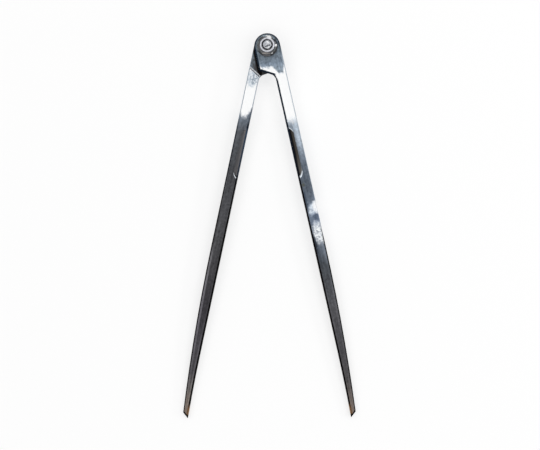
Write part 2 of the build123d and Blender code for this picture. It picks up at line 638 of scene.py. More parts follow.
@dataclass(frozen=True)
class GlareStretch:
    """Stretch below the head plate, painted near white as a reflection of the overhead light.

    Attributes:
        end: Where it ends in the middle of the face.
        bow: How much earlier it ends at the leg's edges.
        fade: Half the length over which it fades.
        middle: Middle of the face, outwards from the leg's centre line.
        half_width: Half the face's width.
        start_fade: Half the length over which it sets in.
    """

    end: float
    bow: float
    fade: float
    middle: float = 6.2
    half_width: float = 4.5
    start_fade: float = 1.4

    def share(self, place: LegPlace, grain: SteelGrain, start: Field) -> Field:
        """Share of the stretch.

        Args:
            place: Where the point lies.
            grain: Noises that fray its ends.
            start: Where it sets in, down the leg.

        Returns:
            The share.
        """
        wavy = place.down + grain.fray(clouds=2.4, specks=3.0)
        starts = (wavy - start).rise(-self.start_fade, self.start_fade)
        from_middle = (place.out - self.middle) * (1.0 / self.half_width)
        past_end = wavy + grain.fray(clouds=5.0, specks=3.0) - self.end
        past_end = past_end + from_middle * from_middle * self.bow
        return starts * past_end.fall(-self.fade, self.fade)


@dataclass(frozen=True)
class LegBody:
    """Darker body of a leg, with lengthwise smears, painted highlights beside its edges, and a warm tint
    towards the point.

    Attributes:
        tones: Its colour down the leg.
        sheen: Pale bluish sheen of its outer half, down the leg.
        outer_edge_highlight: How strong the painted highlight beside the outer edge is, down the leg.
        inner_edge_highlight: How strong the painted highlight beside the inner edge is, down the leg.
        sheen_side: Where the sheen sets in, outwards from the centre line.
        outer_line: Where the outer painted highlight runs, inwards from the outer edge.
        inner_line: Where the inner painted highlight runs, outwards from the inner edge.
        edge_highlight_level: How much the painted highlights lighten.
        warm: Tint towards the point.
        warm_reach: Where the tint is full and gone, back from the point.
        warmth: How strong the tint is.
    """

    tones: Tones
    sheen: Stops
    outer_edge_highlight: Stops
    inner_edge_highlight: Stops
    sheen_side: Span = (3.0, 8.0)
    outer_line: Span = (1.2, 2.0)
    inner_line: Span = (1.6, 2.2)
    edge_highlight_level: float = 0.7
    warm: Colour = (0.40, 0.31, 0.25)
    warm_reach: Span = (6.0, 28.0)
    warmth: float = 0.3

    def glow(self, bench: NodeBench, place: LegPlace) -> Field:
        """Share of the pale sheen along the outer half of the body."""
        return bench.profile(place.down, self.sheen) * place.out.rise(*self.sheen_side)

    def colour(self, bench: NodeBench, place: LegPlace, grain: SteelGrain, glow: Field) -> Field:
        """Colour of the body, with its sheen, streaks, clouds and tint.

        Args:
            bench: The material's node tree.
            place: Where the point lies.
            grain: Noises of the steel.
            glow: Share of the pale sheen.

        Returns:
            The colour.
        """
        body = bench.blend(glow, bench.tones(place.down, self.tones), SHEEN)
        # The lines beside the edges are painted highlights
        outer = place.from_outer.within(*self.outer_line, soft=0.6)
        inner = place.from_inner.within(*self.inner_line, soft=0.5)
        line = outer * bench.profile(place.down, self.outer_edge_highlight)
        line = line + inner * bench.profile(place.down, self.inner_edge_highlight)
        texture = grain.texture(smears=1.2, clouds=0.9, specks=0.5, base=-0.3)
        body = bench.shade(body, line * self.edge_highlight_level + texture)
        left = place.left + grain.fray(clouds=4.0)
        return bench.blend(left.fall(*self.warm_reach) * self.warmth, body, self.warm)


@dataclass(frozen=True)
class FingerRecess:
    """Finger recess: floor and end walls painted darker as shade, lighter towards its lower end, with
    painted highlights on its upper edge and round its ends.

    Attributes:
        inner: Colour of its floor along the leg's inner edge.
        outer: Colour of the floor where it meets the leg's face.
        lower: Colour of the floor at its lower end.
        rim_highlights: Width of the painted highlights round its upper and its lower end, as a share of
            their arcs.
        upper_wall_shade: How far its upper end wall is painted as dark as its floor, as shade.
        brink_highlight: How strong the painted highlight on its upper edge beside its lower end is.
        recess_highlight: Colour of the painted highlights.
        span: Where it starts and ends, down the leg.
        floor_turns: Where the floor changes to its outer colour, outwards.
        lower_starts: Where it changes to its lower colour, down the leg.
        lower_turns: Where the lower colour sets in, outwards.
        floor_levels: Levels of the sloped floor.
        wall_levels: Levels of the end walls.
        arc_middles: Middles of its end arcs, down the leg.
        arc_out: Middle of those arcs, outwards.
        arc_length: Their half-axis down the leg.
        arc_width: Their half-axis outwards.
        full_rim: Width from which a painted highlight round an end is full.
    """

    inner: Colour
    outer: Colour
    lower: Colour
    rim_highlights: Span
    upper_wall_shade: float
    brink_highlight: float
    recess_highlight: Colour = (0.86, 0.91, 0.96)
    span: Span = (60.0, 108.0)
    floor_turns: Span = (2.6, 4.2)
    lower_starts: Span = (82.0, 101.0)
    lower_turns: Span = (2.3, 3.4)
    floor_levels: Span = (0.82, 0.92)
    wall_levels: Span = (0.28, 0.66)
    arc_middles: Span = (70.5, 96.9)
    arc_out: float = 1.0
    arc_length: float = 6.6
    arc_width: float = 4.2
    full_rim: float = 0.125

    def lay(self, coat: Coat, place: LegPlace) -> None:
        """Lays the painted shade on the floor and walls, and the painted highlights on the upper edge and
        round the ends.

        Args:
            coat: The leg's coat.
            place: Where the point lies.
        """
        bench = coat.bench
        inside = place.down.within(*self.span, soft=1.0)
        slope = place.tilted(*self.floor_levels) * inside
        end_wall = place.tilted(*self.wall_levels) * abs(place.faces_tip).rise(0.12, 0.22)
        lower_half = place.down.rise(80.0, 84.0)
        wall = end_wall * (lower_half | self.upper_wall_shade)
        # Painted shade: the floor and end walls are painted dark, lighter towards the lower end
        floor = bench.blend(place.out.rise(*self.floor_turns), self.inner, self.outer)
        lower = place.down.rise(*self.lower_starts) * place.out.rise(*self.lower_turns)
        coat.lay(slope | wall * inside, bench.blend(lower, floor, self.lower))
        # Painted highlights on the upper edge beside the lower end, and round both ends
        upper_edge = place.out.rise(4.3, 5.0)
        lower_end = place.down.rise(93.0, 101.0)
        coat.lay(slope * upper_edge * lower_end * self.brink_highlight, self.recess_highlight)
        coat.lay(self._rim_highlight_share(place), self.recess_highlight, polish=1.0)

    def _rim_highlight_share(self, place: LegPlace) -> Field:
        """Share of the painted highlights round the ends, widest at the leg's inner edge.

        Args:
            place: Where the point lies.

        Returns:
            The share.
        """
        wide = (place.out - self.arc_out) * (1.0 / self.arc_width)
        rim_highlights = []
        for middle, way, width in zip(self.arc_middles, (-1.0, 1.0), self.rim_highlights):
            long = (place.down - middle) * (way / self.arc_length)
            arc = (long * long + wide * wide) ** 0.5
            start = 1.0 - long * width
            band = arc.rise(start - 0.04, start + 0.02) * arc.fall(1.02, 1.06)
            near_end = long.rise(0.4 - width, 0.65 - width)
            rim_highlights.append(band * near_end * min(1.0, width / self.full_rim))
        near_faces = abs(place.deep).rise(2.0, 2.4)
        off_inner_edge = place.out.rise(1.5, 1.9)
        return (rim_highlights[0] | rim_highlights[1]) * near_faces * off_inner_edge


@dataclass(frozen=True)
class LegEdges:
    """Broken edges of a leg and the bands beside them: painted shade, or painted highlights at the head and
    along the glare stretch.

    Attributes:
        outer_ink: How dark the outer edge is, down the leg.
        inner_ink: How dark the inner edge is, down the leg.
        turned: Component of the normal from which a face counts as turned to a side.
        chamfer_levels: Levels of the broken edges.
        pale_from: Where the head's broken edges turn pale, down the leg.
        pale_to: Where the glare stretch takes over.
        paleness: How pale the pale edges are.
        outer_shade_band: Width of the painted shade beside the outer edge, and where it is gone.
        inner_shade_band: Width of the painted shade beside the inner edge, and where it is gone.
        high: Distance from the lap plane from which a face counts as a leg's front or back.
        shoulder_down: Where the shoulder's edge crosses the centre line, down the leg.
        shoulder_shade_band: Width of the painted shade along the shoulder, and where it is gone.
        black_shade_reach: Where the painted shade starts to turn from blue-black to black and is black,
            down the leg.
    """

    outer_ink: Stops
    inner_ink: Stops
    turned: Span = (0.2, 0.4)
    chamfer_levels: Span = (0.66, 0.79)
    pale_from: Span = (6.0, 12.0)
    pale_to: Span = (20.0, 24.0)
    paleness: float = 0.85
    outer_shade_band: Span = (0.65, 1.05)
    inner_shade_band: Span = (1.05, 1.55)
    high: Span = (3.5, 3.8)
    shoulder_down: float = 22.3
    shoulder_shade_band: Span = (1.1, 1.6)
    black_shade_reach: Span = (60.0, 120.0)

    def lay(self, coat: Coat, place: LegPlace, glare: Field) -> None:
        """Lays the painted highlights on the pale edges, and the painted shade on the dark ones.

        Args:
            coat: The leg's coat.
            place: Where the point lies.
            glare: Share of the glare stretch.
        """
        bench = coat.bench
        broken = place.tilted(*self.chamfer_levels)
        lengthwise = abs(place.faces_tip).fall(0.45, 0.55)
        chamfer = broken * lengthwise
        outer = chamfer * place.faces_out.rise(*self.turned)
        inner = chamfer * (0.0 - place.faces_out).rise(*self.turned)
        # Painted highlights on the broken edges at the head and along the glare stretch
        head = place.down.rise(*self.pale_from) * place.down.fall(*self.pale_to)
        coat.lay((outer | inner) * (glare | head) * self.paleness, EDGE_HIGHLIGHT)
        # Painted shade on the dark edges and the bands beside them, blue-black turning to black down the
        # leg
        below_head = place.down.rise(24.0, 28.0)
        beside = place.level.rise(0.42, 0.45) * below_head
        outer = outer | beside * place.from_outer.fall(*self.outer_shade_band)
        inner = inner | beside * place.from_inner.fall(*self.inner_shade_band)
        dark = outer * bench.profile(place.down, self.outer_ink)
        dark = dark | inner * bench.profile(place.down, self.inner_ink)
        dark = dark | self._head_rim(place, broken) | self._shoulder(place)
        start, end = self.black_shade_reach
        coat.lay(dark, bench.tones(place.down, ((start, INK), (end, SHADE_BLACK))))

    def _head_rim(self, place: LegPlace, broken: Field) -> Field:
        """Painted shade on the rim round the head and down the front plate's left edge.

        Args:
            place: Where the point lies.
            broken: Share of the broken edges.

        Returns:
            Share of the rim.
        """
        left = place.out.fall(-9.1, -8.6) * place.down.within(-2.0, 20.0, soft=2.0)
        arc = place.radius.rise(8.7, 9.2) * place.down.fall(0.0, 3.0)
        return broken * place.down.fall(2.0, 6.0) | (arc | left) * place.flat * place.deep.rise(*self.high)

    def _shoulder(self, place: LegPlace) -> Field:
        """Painted shade on the shoulder's edge and side, and above it.

        Args:
            place: Where the point lies.

        Returns:
            Share of the edge and the scale.
        """
        side = place.level.fall(0.75, 0.79) * place.faces_tip.rise(*self.turned)
        to_edge = place.out * STEP_SLOPE + self.shoulder_down - place.down
        above = place.flat * abs(place.deep).rise(*self.high)
        above = above * to_edge.fall(*self.shoulder_shade_band) * place.out.fall(0.8, 1.8)
        return (side * place.down.within(8.0, 45.0, soft=2.0) | above) * place.down.fall(30.0, 32.0)


@dataclass(frozen=True)
class HalfLap:
    """Half-lap of a leg: lap face painted dark as shade, with rub rings, and the step that it ends at.

    Attributes:
        face: Colour of the lap face, painted dark as shade.
        face_edge: Its colour near the leg's outer edge.
        painted_shadow: Shadow painted beside the front head plate.
        painted_shadow_span: Where that painted shadow lies, left of that plate's edge.
        step_down: Where the step's top edge crosses the centre line, down the leg.
        step_span: Reach of the step's faces either side of that edge, down the leg.
        line: Where a dark line of painted shade runs on the leg's face below that edge.
        line_ink: How dark that line is.
    """

    face: Colour = (0.09, 0.09, 0.093)
    face_edge: Colour = (0.21, 0.25, 0.29)
    painted_shadow: Colour = (0.012, 0.011, 0.011)
    painted_shadow_span: Span = (-1.0, 0.9)
    step_down: float = 23.4
    step_span: Span = (-2.5, 2.5)
    line: Span = (0.4, 1.5)
    line_ink: float = 0.85

    def step_at(self, place: LegPlace) -> Field:
        """Where the top edge of the step lies, down the leg."""
        return self.step_down - place.out * STEP_SLOPE

    def lay(self, coat: Coat, place: LegPlace, grain: SteelGrain) -> None:
        """Lays the lap face, the step's dark line of painted shade, and painted highlights on its fillet
        and broken edge.

        Args:
            coat: The leg's coat.
            place: Where the point lies.
            grain: Noises that vary the lap face.
        """
        self._lay_face(coat, place, grain)
        # Painted shade in the dark line below the step, and painted highlights on its fillet and top edge
        past = place.down - self.step_at(place)
        near = past.within(*self.step_span, soft=0.5)
        line = past.within(*self.line, soft=0.3) * place.up_step.rise(3.5, 3.8) * place.flat
        coat.lay(line * self.line_ink, INK)
        fillet = place.up_step.within(0.05, 1.0, soft=0.04) * place.tilted(0.25, 0.94)
        coat.lay(near * fillet, EDGE_HIGHLIGHT)
        turned = place.tilted(0.45, 0.85, soft=0.05) * place.faces_tip.fall(-0.5, -0.3)
        top_edge = place.up_step.rise(2.9, 3.2) * turned
        coat.lay(near * top_edge, HIGHLIGHT_WHITE, polish=1.0)

    def _lay_face(self, coat: Coat, place: LegPlace, grain: SteelGrain) -> None:
        """Lays the lap face, painted dark as shade, with its rub rings and a shadow painted beside the
        front plate.

        Args:
            coat: The leg's coat.
            place: Where the point lies.
            grain: Noises that vary the face.
        """
        bench = coat.bench
        flat = place.level.rise(0.97, 0.99) * abs(place.deep).fall(0.15, 0.3) * place.down.fall(30.0, 31.0)
        rings = bench.noise(place.radius, grain.mottle * 0.4, 0.0, scale=2.6, detail=2.0)
        # The lap face is painted dark as shade, paler near the outer edge, with a shadow painted beside the
        # front plate's edge
        pale = place.out.rise(5.5, 8.0) * grain.mottle.rise(0.3, 0.55)
        face = bench.shade(bench.blend(pale, self.face, self.face_edge), rings * 0.8 + 0.6)
        in_painted_shadow = (place.plate_side - place.head_radius).within(*self.painted_shadow_span, soft=1.3)
        coat.lay(flat, bench.blend(in_painted_shadow, face, self.painted_shadow))


@dataclass(frozen=True)
class TemperedPoint:
    """Tempered point: straw-brown inner edge, and a bevel and an end painted black as shade. Lengths run
    back from the point.

    Attributes:
        straw: Colour of the inner edge.
        straw_reach: Where the straw colour is full and gone.
        straw_side: Where it is full and gone, outwards from the centre line.
        bevel_reach: Where the bevel's painted shade is full and gone.
        bevel_slope: How far the bevel's edge runs back for each millimetre outwards.
        bevel_line: Width of the painted shade along the bevel's edge, and where it is gone.
        end_shade: Where the painted shade at the very end is full and gone.
    """

    straw: Colour = (0.36, 0.20, 0.10)
    straw_reach: Span = (7.0, 12.0)
    straw_side: Span = (1.6, 3.0)
    bevel_reach: Span = (6.5, 7.5)
    bevel_slope: float = 0.84
    bevel_line: Span = (1.3, 2.0)
    end_shade: Span = (2.5, 3.3)

    def lay(self, coat: Coat, place: LegPlace, grain: SteelGrain) -> None:
        """Lays the straw colour, and the painted shade on the bevel and the end.

        Args:
            coat: The leg's coat.
            place: Where the point lies.
            grain: Noises that fray the straw colour.
        """
        frayed = place.left + grain.fray(clouds=4.0)
        edge = (place.level.fall(0.8, 0.95) | 0.45) * frayed.fall(*self.straw_reach)
        coat.lay(edge * place.out.fall(*self.straw_side), self.straw)
        # Painted shade: the bevel and the very end are painted black
        line = (place.left - place.out * self.bevel_slope).fall(*self.bevel_line)
        bevel = (place.faces_tip.rise(0.25, 0.45) | line) * place.left.fall(*self.bevel_reach)
        coat.lay(bevel, SHADE_BLACK)
        coat.lay(place.left.fall(*self.end_shade), SHADE_BLACK)


@dataclass(frozen=True)
class LegSteel:
    """Steel of one leg: satin head plate, a glare stretch painted near white as a reflection, darker body,
    heat-tinted point.

    Attributes:
        side: The leg.
        glare: Its glare stretch, painted near white as a reflection.
        body: Its body.
        edges: Its edges.
        recess: Its finger recess.
        patches: Places painted lighter or darker, mostly as reflections, with a polish of their own.
        plate: Its head plate.
        lap: Its half-lap.
        point: Its point.
        plate_fades: Where the head plate's finish gives way, either side of its end.
        sheen_polish: How far the pale sheen scatters light like the glare stretch.
        plate_rough: Roughness of the head plate.
        body_rough: Roughness of the body.
        glare_rough: Roughness of the glare stretch.
        brushed_depth: Depth of the grinding lines, in millimetres.
        glancing: How white the steel turns when it is seen edge-on.
    """

    side: Side
    glare: GlareStretch
    body: LegBody
    edges: LegEdges
    recess: FingerRecess
    patches: tuple[Patch, ...] = ()
    plate: HeadPlate = HeadPlate()
    lap: HalfLap = HalfLap()
    point: TemperedPoint = TemperedPoint()
    plate_fades: Span = (-1.0, 1.5)
    sheen_polish: float = 0.7
    plate_rough: float = 0.42
    body_rough: float = 0.30
    glare_rough: float = 0.68
    brushed_depth: float = 0.012
    glancing: float = 0.3

    def build(self, compass: CompassFrame) -> bpy.types.Material:
        """Makes the material.

        Args:
            compass: The compass's frame.

        Returns:
            The material of this leg.
        """
        material = bpy.data.materials.new(f"leg_steel_{self.side.name.lower()}")
        bench = NodeBench(material)
        place = LegPlace(bench, compass, self.side)
        grain = SteelGrain(bench, place)

        # The left leg's plate lies behind the other one, so its face starts at the step
        plate_end = self.lap.step_at(place) if self.side is Side.LEFT else self.plate.ends_at(place)
        glare = self.glare.share(place, grain, plate_end)
        glow = self.plate.glow(place) | self.body.glow(bench, place)
        plate = self.plate.colour(bench, place, grain, glow)
        body = self.body.colour(bench, place, grain, glow)
        face = bench.blend((place.down - plate_end).rise(*self.plate_fades), plate, body)
        coat = Coat(bench, face, glare | glow * self.sheen_polish)
        # Painted reflection: the glare stretch is painted near white
        coat.lay(glare, HIGHLIGHT_WHITE)
        for patch in self.patches:
            patch.lay(coat, place, grain)
        self.recess.lay(coat, place)
        self.edges.lay(coat, place, glare)
        self.lap.lay(coat, place, grain)
        self.point.lay(coat, place, grain)

        colour = bench.shade(coat.colour, grain.brushed * 0.3 + 0.85)
        rough = bench.mixed(place.down.rise(14.0, 24.0), self.plate_rough, self.body_rough)
        rough = bench.mixed(coat.polish, rough, self.glare_rough)
        rough = rough + (grain.brushed - 0.5) * 0.14 + grain.fray(clouds=0.06)
        bench.metal(colour, rough, bench.bump(grain.brushed, self.brushed_depth), self.glancing)
        return material


@dataclass(frozen=True)
class Mark:
    """A soft oval mark on the nut's side of a fastener; most are painted highlights and painted shade.

    Attributes:
        across: Its middle, in millimetres from the axis towards the right leg's side.
        up: Its middle, in millimetres from the axis towards the head.
        angle: Direction of its length, in degrees from the across axis.
        half_length: Half its length.
        half_width: Half its width.
        colour: Its colour.
        cover: How far it hides what is under it.
        scatter: How far it scatters light instead of mirroring it.
        edge: Squared distance, in half sizes, at which it starts to fade and is gone.
    """

    across: float
    up: float
    angle: float
    half_length: float
    half_width: float
    colour: Colour
    cover: float = 0.9
    scatter: float = 0.0
    edge: Span = (0.3, 1.2)

    def share(self, across: Field, up: Field) -> Field:
        """Share of the mark at a point.

        Args:
            across: The point's place towards the right leg's side.
            up: The point's place towards the head.

        Returns:
            The share.
        """
        turn = math.radians(self.angle)
        x, y = across - self.across, up - self.up
        long = (x * math.cos(turn) + y * math.sin(turn)) * (1.0 / self.half_length)
        wide = (y * math.cos(turn) - x * math.sin(turn)) * (1.0 / self.half_width)
        return (long * long + wide * wide).fall(*self.edge) * self.cover


@dataclass(frozen=True)
class Plating:
    """Plated fastener steel, with light and shade painted on the nut's side by the distance from the
    pivot's axis.

    Attributes:
        name: Name of the material.
        rings: Colour on the nut's side, from the axis outwards, painted lighter and darker as light and
            shade.
        back: Colour on the bolt head's side.
        roughness: Roughness of the plating.
        stain: Colour of the worn and stained places.
        stained: How far the stains cover.
        speckled: How much small specks lighten and darken it.
        marks: Marks on the nut's side, most of them painted highlights and painted shade.
        stain_edge: Range of the cloud noise in which the stains set in.
        marked_rough: Roughness of a mark that scatters light.
        turned_depth: Depth of the turned and pitted surface, in millimetres.
    """

    name: str
    rings: Tones
    back: Colour
    roughness: float
    stain: Colour
    stained: float
    speckled: float = 0.9
    marks: tuple[Mark, ...] = ()
    stain_edge: Span = (0.42, 0.68)
    marked_rough: float = 0.75
    turned_depth: float = 0.012

    def build(self, compass: CompassFrame) -> bpy.types.Material:
        """Makes the material.

        Args:
            compass: The compass's frame.

        Returns:
            The material.
        """
        material = bpy.data.materials.new(self.name)
        bench = NodeBench(material)
        point = bench.position()
        across = bench.along(point, compass.pivot, compass.across)
        up = bench.along(point, compass.pivot, compass.headward)
        deep = bench.along(point, compass.pivot, compass.normal)
        radius = (across * across + up * up) ** 0.5
        cloud = bench.noise(across, up, deep, scale=0.35, detail=4.0)
        specks = bench.noise(across, up, deep, scale=1.1, detail=3.0)
        turned = bench.noise(radius, deep, 0.0, scale=6.0, detail=2.0)
        front = deep.rise(-0.5, 0.5)
        topside = front * bench.share_of(bench.facing(), compass.normal).rise(0.3, 0.5)
        # Painted light and shade: the rings lighten and darken the nut's side by the distance from the axis
        colour = bench.blend(front, self.back, bench.tones(radius, self.rings))
        colour = bench.blend(cloud.rise(*self.stain_edge) * self.stained, colour, self.stain)
        rough = (cloud - 0.5) * 0.16 + (specks - 0.5) * 0.10 + self.roughness
        # Most marks are painted highlights and painted shade
        for mark in self.marks:
            share = mark.share(across, up) * topside
            colour = bench.blend(share, colour, mark.colour)
            rough = bench.mixed(share * mark.scatter, rough, self.marked_rough)
        colour = bench.shade(colour, (specks - 0.5) * self.speckled + 1.0)
        bench.metal(colour, rough, bench.bump(turned * 0.7 + specks * 0.3, self.turned_depth))
        return material


@dataclass(frozen=True)
class NylonRing:
    """Dark nylon of the nut's locking ring.

    Attributes:
        colour: Colour of the nylon.
        worn: Colour of its scuffed places.
        scuffs: Range of the cloud noise in which the scuffs set in.
        moulded_depth: Depth of its moulded surface, in millimetres.
    """

    colour: Colour = (0.012, 0.014, 0.02)
    worn: Colour = (0.05, 0.052, 0.06)
    scuffs: Span = (0.45, 0.75)
    moulded_depth: float = 0.02

    def build(self) -> bpy.types.Material:
        """Makes the material.

        Returns:
            The material.
        """
        material = bpy.data.materials.new("ring_nylon")
        bench = NodeBench(material)
        millimetres = bench.node("ShaderNodeSeparateXYZ")
        bench.feed(millimetres.inputs[0], bench.position())
        x, y, z = (Field(bench, socket) * (1.0 / MM) for socket in millimetres.outputs)
        cloud = bench.noise(x, y, z, scale=0.9, detail=4.0)
        shader = bench.node("ShaderNodeBsdfPrincipled")
        colour = bench.blend(cloud.rise(*self.scuffs), self.colour, self.worn)
        bench.feed(shader.inputs["Base Color"], colour)
        bench.feed(shader.inputs["Roughness"], cloud * 0.3 + 0.35)
        bench.feed(shader.inputs["Normal"], bench.bump(cloud, self.moulded_depth))
        bench.close(shader.outputs[0])
        return material


LEFT_STEEL = LegSteel(
    side=Side.LEFT,
    glare=GlareStretch(end=56.3, bow=7.0, fade=3.0),
    body=LegBody(
        tones=(
            (58.0, (0.28, 0.33, 0.40)),
            (68.0, (0.17, 0.18, 0.20)),
            (100.0, (0.155, 0.16, 0.175)),
            (150.0, (0.163, 0.163, 0.173)),
            (176.0, (0.122, 0.119, 0.128)),
            (200.0, (0.095, 0.091, 0.102)),
            (225.0, (0.115, 0.11, 0.125)),
            (255.0, (0.115, 0.11, 0.12)),
            (268.0, (0.21, 0.195, 0.19)),
            (280.0, (0.33, 0.28, 0.25)),
        ),
        sheen=((30.0, 0.0), (55.0, 0.10), (70.0, 0.05), (100.0, 0.0)),
        outer_edge_highlight=(
            (154.0, 0.0), (168.0, 2.2), (184.0, 3.2), (206.0, 2.8), (230.0, 1.4), (262.0, 0.7), (272.0, 0.0)
        ),
        inner_edge_highlight=((222.0, 0.0), (236.0, 1.2), (262.0, 1.2), (278.0, 0.3), (284.0, 0.0)),
    ),
    edges=LegEdges(
        outer_ink=((50.0, 0.0), (58.0, 0.1), (64.0, 1.0)),
        inner_ink=((50.0, 0.0), (57.0, 0.2), (63.0, 1.0)),
    ),
    recess=FingerRecess(
        inner=(0.064, 0.062, 0.064),
        outer=(0.040, 0.040, 0.043),
        lower=(0.045, 0.044, 0.046),
        rim_highlights=(0.0, 0.09),
        upper_wall_shade=0.0,
        brink_highlight=0.0,
    ),
    # Patches painted greyer within the glare stretch, as breaks in its reflection
    patches=(
        Patch(26.0, 5.8, 8.0, 4.8, (0.56, 0.63, 0.70), polish=0.7, broken=0.6),
        Patch(26.5, 4.6, 4.5, 3.4, (0.34, 0.40, 0.46), polish=0.5, broken=0.95),
    ),
)

RIGHT_STEEL = LegSteel(
    side=Side.RIGHT,
    glare=GlareStretch(end=60.0, bow=1.5, fade=4.5),
    body=LegBody(
        tones=(
            (60.0, (0.46, 0.54, 0.64)),
            (70.0, (0.36, 0.43, 0.52)),
            (88.0, (0.30, 0.365, 0.46)),
            (110.0, (0.225, 0.27, 0.335)),
            (130.0, (0.32, 0.39, 0.50)),
            (158.0, (0.20, 0.24, 0.31)),
            (172.0, (0.13, 0.145, 0.165)),
            (206.0, (0.19, 0.19, 0.205)),
            (236.0, (0.125, 0.122, 0.134)),
            (262.0, (0.16, 0.153, 0.156)),
            (280.0, (0.31, 0.27, 0.25)),
        ),
        sheen=(
            (30.0, 0.0), (58.0, 0.6), (76.0, 0.6), (84.0, 0.25), (92.0, 0.05), (112.0, 0.0),
            (146.0, 0.0), (157.0, 0.16), (166.0, 0.08), (180.0, 0.0),
        ),
        outer_edge_highlight=((152.0, 0.0), (166.0, 0.7), (190.0, 0.5), (215.0, 0.25), (262.0, 0.25), (272.0, 0.0)),
        inner_edge_highlight=((222.0, 0.0), (234.0, 0.3), (250.0, 0.3), (262.0, 0.0)),
    ),
    edges=LegEdges(
        outer_ink=((140.0, 0.0), (152.0, 0.9), (158.0, 1.0)),
        inner_ink=((12.0, 1.0), (20.0, 1.0)),
    ),
    recess=FingerRecess(
        inner=(0.010, 0.010, 0.011),
        outer=(0.105, 0.094, 0.084),
        lower=(0.20, 0.19, 0.182),
        rim_highlights=(0.09, 0.3),
        upper_wall_shade=1.0,
        brink_highlight=0.5,
    ),
    # Patches painted lighter and darker, mostly as reflections of the lamps
    patches=(
        Patch(136.0, 7.0, 6.0, 5.0, (0.34, 0.42, 0.56)),
        Patch(128.0, 6.9, 5.0, 4.8, (0.76, 0.83, 0.90), slant=-0.4, polish=0.75, broken=0.6),
        Patch(127.4, 9.2, 5.0, 2.6, (0.97, 0.98, 0.99), polish=1.0, broken=0.3),
        Patch(147.0, 6.9, 9.4, 4.8, (0.95, 0.97, 0.98), polish=1.0, broken=0.65),
        Patch(135.3, 8.0, 3.2, 2.8, (0.21, 0.27, 0.39), slant=0.5, broken=0.5),
        Patch(109.0, 3.4, 1.8, 1.4, (0.21, 0.23, 0.22)),
        Patch(122.0, 2.2, 9.0, 1.5, (0.15, 0.19, 0.26)),
        Patch(155.0, 2.2, 9.0, 1.5, (0.07, 0.085, 0.11)),
    ),
)

HARDWARE = {
    "pivot_bolt": Plating(
        name="bolt_zinc",
        # The stud's end is painted bright and the groove round it dark, as painted light and shade
        rings=(
            (0.0, (0.62, 0.64, 0.68)),
            (2.95, (0.62, 0.64, 0.68)),
            (3.12, (0.02, 0.02, 0.024)),
            (4.1, (0.02, 0.02, 0.024)),
        ),
        back=(0.46, 0.46, 0.48),
        roughness=0.44,
        stain=(0.36, 0.37, 0.40),
        stained=0.8,
        speckled=1.6,
        marks=(
            Mark(0.6, 1.4, 120.0, 1.6, 0.9, (0.95, 0.96, 0.98), 0.6, scatter=0.4),
            Mark(0.9, -2.2, 30.0, 1.2, 0.6, (0.95, 0.95, 0.95), 0.6, scatter=0.4),
            Mark(-0.4, -1.1, 25.0, 1.8, 0.45, (0.035, 0.035, 0.04), 1.0),
            Mark(1.5, -0.5, 60.0, 0.65, 0.55, (0.01, 0.01, 0.014), 1.0),
            Mark(-2.3, 2.7, 40.0, 2.2, 0.4, (0.12, 0.13, 0.145), 0.8),
        ),
    ),
    "back_washer": Plating(
        name="back_washer_zinc",
        rings=((4.0, (0.30, 0.29, 0.28)), (9.0, (0.26, 0.24, 0.23))),
        back=(0.34, 0.33, 0.32),
        roughness=0.38,
        stain=(0.12, 0.10, 0.09),
        stained=0.7,
    ),
    "front_washer": Plating(
        name="front_washer_zinc",
        # The washer's outer rim is painted dark as shade
        rings=(
            (6.4, (0.21, 0.225, 0.235)),
            (7.1, (0.18, 0.19, 0.20)),
            (7.5, (0.105, 0.11, 0.115)),
            (8.3, (0.07, 0.07, 0.075)),
        ),
        back=(0.34, 0.33, 0.32),
        roughness=0.38,
        stain=(0.095, 0.10, 0.106),
        stained=0.6,
        # Painted highlights and painted shade round the nut
        marks=(
            Mark(-7.1, 0.5, 90.0, 5.0, 1.0, (0.33, 0.37, 0.39), 0.7),
            Mark(0.0, 7.6, 0.0, 4.5, 2.0, (0.62, 0.75, 0.84), 0.8),
            Mark(4.5, 6.4, -50.0, 1.8, 1.2, (0.44, 0.57, 0.68), 0.85),
            Mark(1.1, 7.3, -10.0, 2.6, 1.3, (0.99, 1.0, 1.0), 1.0, scatter=1.0),
            Mark(-0.5, -7.1, 0.0, 3.6, 0.6, (0.36, 0.35, 0.37), 0.7),
            Mark(-1.0, -7.8, 0.0, 4.2, 0.45, (0.14, 0.115, 0.105), 0.8),
            Mark(5.4, 4.2, -50.0, 1.7, 0.6, (0.03, 0.04, 0.07), 0.6),
            Mark(7.2, 2.6, -65.0, 1.4, 0.5, (0.04, 0.05, 0.08)),
        ),
    ),
    "lock_nut": Plating(
        name="nut_zinc",
        # A bright collar as painted highlight, with a dark groove and a darkened hex as painted shade
        rings=(
            (4.0, (0.66, 0.67, 0.72)),
            (5.45, (0.68, 0.69, 0.74)),
            (5.7, (0.08, 0.09, 0.11)),
            (6.0, (0.125, 0.13, 0.135)),
            (6.5, (0.17, 0.175, 0.175)),
            (6.9, (0.15, 0.15, 0.15)),
            (7.3, (0.09, 0.085, 0.085)),
        ),
        back=(0.34, 0.33, 0.33),
        roughness=0.40,
        stain=(0.44, 0.43, 0.45),
        stained=0.25,
        speckled=0.4,
        # Painted highlights on the nut's top and right corners, and painted shade on a flat
        marks=(
            Mark(-0.8, -6.4, -4.0, 3.4, 0.9, (0.48, 0.44, 0.41), 0.8, scatter=0.3),
            Mark(1.6, 5.9, -30.0, 2.0, 1.2, (0.99, 1.0, 1.0), 1.0, scatter=1.0),
            Mark(6.9, -0.3, 90.0, 1.2, 1.3, (0.98, 0.99, 1.0), 1.0, scatter=0.8),
            Mark(3.9, -6.2, 40.0, 1.0, 0.7, (0.85, 0.85, 0.85), scatter=0.4),
            Mark(5.2, 3.6, -55.0, 1.3, 0.5, (0.04, 0.055, 0.085)),
        ),
    ),
}


